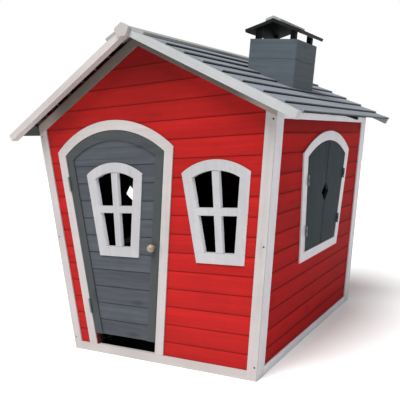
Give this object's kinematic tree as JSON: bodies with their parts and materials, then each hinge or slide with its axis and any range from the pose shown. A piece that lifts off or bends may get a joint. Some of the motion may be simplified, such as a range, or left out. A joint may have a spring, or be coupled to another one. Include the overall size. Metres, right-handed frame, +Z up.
{
  "type": "playhouse",
  "caption": "Wooden garden playhouse with flared walls, arched hinged door, arched windows, shuttered side windows, lapped-board pitched roof and a leaning chimney.",
  "frame": {"origin": "centre of the overall bounding box at ground level, under the room", "axes": "+X to the right seen from the front, -Y is the front with the door, +Z up"},
  "size_m": [1.632, 1.5658, 1.6589],
  "materials": {
    "red_paint": "satin painted spruce",
    "roof_paint": "matte painted boards",
    "bare_wood": "planed, unpainted",
    "grey_paint": "satin painted",
    "dark_grey_paint": "satin painted",
    "hinge_steel": "zinc plated",
    "knob_wood": "oiled",
    "dark_steel": "black oxide",
    "chimney_paint": "matte painted",
    "black_paint": "matte painted",
    "ridge_paint": "satin painted",
    "white_paint": "satin painted"
  },
  "bodies": {
    "house": {"front_wall_boards": "red_paint", "back_wall_boards": "red_paint", "left_wall_boards": "red_paint", "right_wall_boards": "red_paint", "front_corner_board_left": "white_paint", "front_corner_board_right": "white_paint", "back_corner_boards": "white_paint", "left_wall_corner_boards": "white_paint", "right_wall_corner_boards": "white_paint", "front_bottom_rail": "white_paint", "door_sill": "white_paint", "back_bottom_rail": "white_paint", "side_bottom_rails": "white_paint", "side_top_rails": "white_paint", "front_rake_trims": "white_paint", "back_rake_trims": "white_paint", "front_wall_battens": "bare_wood", "back_wall_battens": "bare_wood", "side_wall_battens": "bare_wood", "door_frame_left": "white_paint", "door_frame_right": "white_paint", "door_frame_arch": "white_paint", "door_hinge_frame_leaves": "hinge_steel", "front_window_trim": "white_paint", "front_window_bars": "white_paint", "left_window_trim": "white_paint", "right_window_trim": "white_paint", "shutter_hinge_frame_leaves": "hinge_steel", "roof_boards_left": "roof_paint", "roof_boards_right": "roof_paint", "roof_rafters": "bare_wood", "ridge_caps": "ridge_paint", "front_bargeboard_left": "white_paint", "front_bargeboard_right": "white_paint", "rear_bargeboards": "white_paint", "ridge_end_plates": "white_paint", "chimney_front_boards": "chimney_paint", "chimney_back_boards": "chimney_paint", "chimney_side_boards": "chimney_paint", "chimney_cap_posts": "black_paint", "chimney_cap_boards": "black_paint", "chimney_ridge_cap": "ridge_paint", "corner_screws": "dark_steel"},
    "door": {"door_boards": "grey_paint", "door_stile_left": "grey_paint", "door_stile_right": "grey_paint", "door_arch_rail": "grey_paint", "door_ledges": "grey_paint", "door_window_trim": "white_paint", "door_window_bars": "white_paint", "door_knob": "knob_wood", "door_hinge_leaves": "hinge_steel"},
    "right_shutter_front": {"right_shutter_front": "dark_grey_paint", "right_shutter_front_hinges": "hinge_steel"},
    "right_shutter_rear": {"right_shutter_rear": "dark_grey_paint", "right_shutter_rear_hinges": "hinge_steel"},
    "left_shutter_front": {"left_shutter_front": "dark_grey_paint", "left_shutter_front_hinges": "hinge_steel"},
    "left_shutter_rear": {"left_shutter_rear": "dark_grey_paint", "left_shutter_rear_hinges": "hinge_steel"}
  },
  "joints": [
    {"name": "door_hinge", "type": "hinge", "parent": "house", "child": "door", "pos_m": [-0.37299, -0.673, 0], "axis": [0.1271, 0, -0.9919], "range_deg": [0, 160]},
    {"name": "right_shutter_front_hinge", "type": "hinge", "parent": "house", "child": "right_shutter_front", "pos_m": [0.61293, -0.20031, 0.5963], "axis": [-0.1261, 0.1261, -0.984], "range_deg": [0, 160]},
    {"name": "right_shutter_rear_hinge", "type": "hinge", "parent": "house", "child": "right_shutter_rear", "pos_m": [0.61293, 0.30531, 0.5963], "axis": [0.1261, 0.1261, 0.984], "range_deg": [0, 160]},
    {"name": "left_shutter_front_hinge", "type": "hinge", "parent": "house", "child": "left_shutter_front", "pos_m": [-0.61293, -0.25031, 0.5963], "axis": [-0.1261, -0.1261, 0.984], "range_deg": [0, 160]},
    {"name": "left_shutter_rear_hinge", "type": "hinge", "parent": "house", "child": "left_shutter_rear", "pos_m": [-0.61293, 0.25531, 0.5963], "axis": [0.1261, -0.1261, -0.984], "range_deg": [0, 160]}
  ]
}
